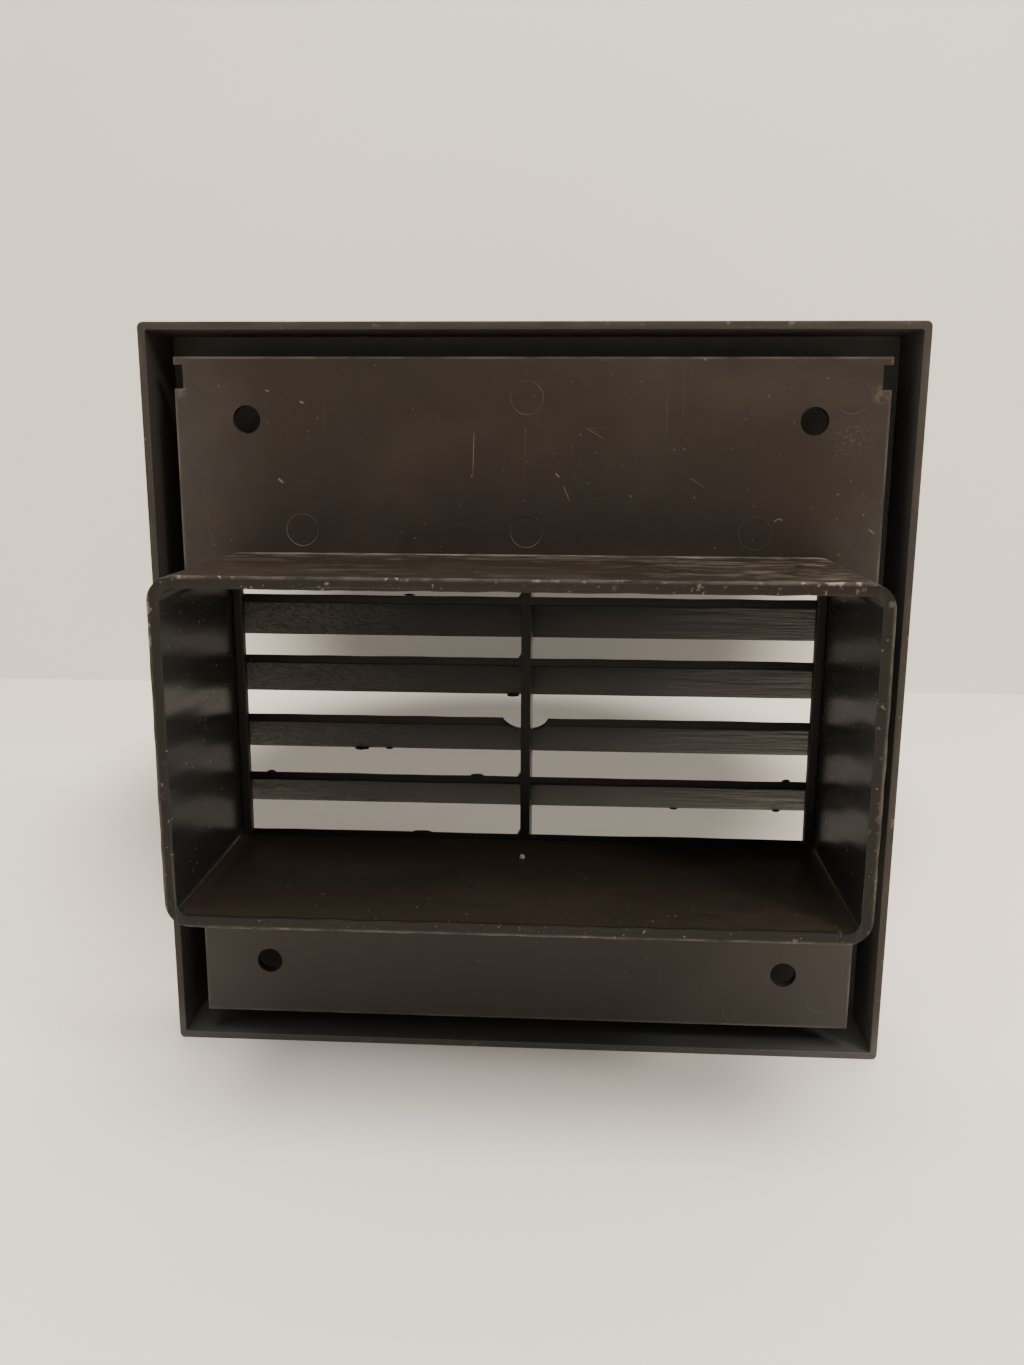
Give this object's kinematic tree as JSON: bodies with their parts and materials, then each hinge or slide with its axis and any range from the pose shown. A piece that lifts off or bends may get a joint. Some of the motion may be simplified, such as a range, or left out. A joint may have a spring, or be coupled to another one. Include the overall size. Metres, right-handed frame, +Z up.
{
  "type": "louvred vent outlet",
  "caption": "Square louvred vent cover that fits over a wall plate with a flat rectangular duct spigot.",
  "frame": {"origin": "centre of the four screw holes, on the plate's wall face and the duct's axis", "axes": "+Y out of the weather side, -Y into the duct, +X to the right seen from the duct side, +Z up"},
  "size_m": [0.14, 0.054, 0.14],
  "materials": {
    "plate_plastic": "satin moulded chocolate brown",
    "cover_plastic": "satin moulded chocolate brown"
  },
  "bodies": {
    "plate": {"wall_plate": "plate_plastic", "spigot_top": "plate_plastic", "spigot_bottom": "plate_plastic", "spigot_left": "plate_plastic", "spigot_right": "plate_plastic", "duct_stop_left": "plate_plastic", "duct_stop_right": "plate_plastic", "gate_nub": "plate_plastic"},
    "cover": {"front_panel": "cover_plastic", "rim_top": "cover_plastic", "rim_bottom": "cover_plastic", "rim_left": "cover_plastic", "rim_right": "cover_plastic", "collar_top": "cover_plastic", "collar_bottom": "cover_plastic", "collar_left": "cover_plastic", "collar_right": "cover_plastic", "louvre_slat_1": "cover_plastic", "louvre_slat_2": "cover_plastic", "louvre_slat_3": "cover_plastic", "louvre_slat_4": "cover_plastic", "louvre_slat_5": "cover_plastic", "louvre_slat_6": "cover_plastic", "centre_mullion": "cover_plastic"}
  },
  "joints": [
    {"name": "cover_pull_off", "type": "slide", "parent": "plate", "child": "cover", "axis": [0, 1, 0], "range_m": [0, 0.05]}
  ]
}
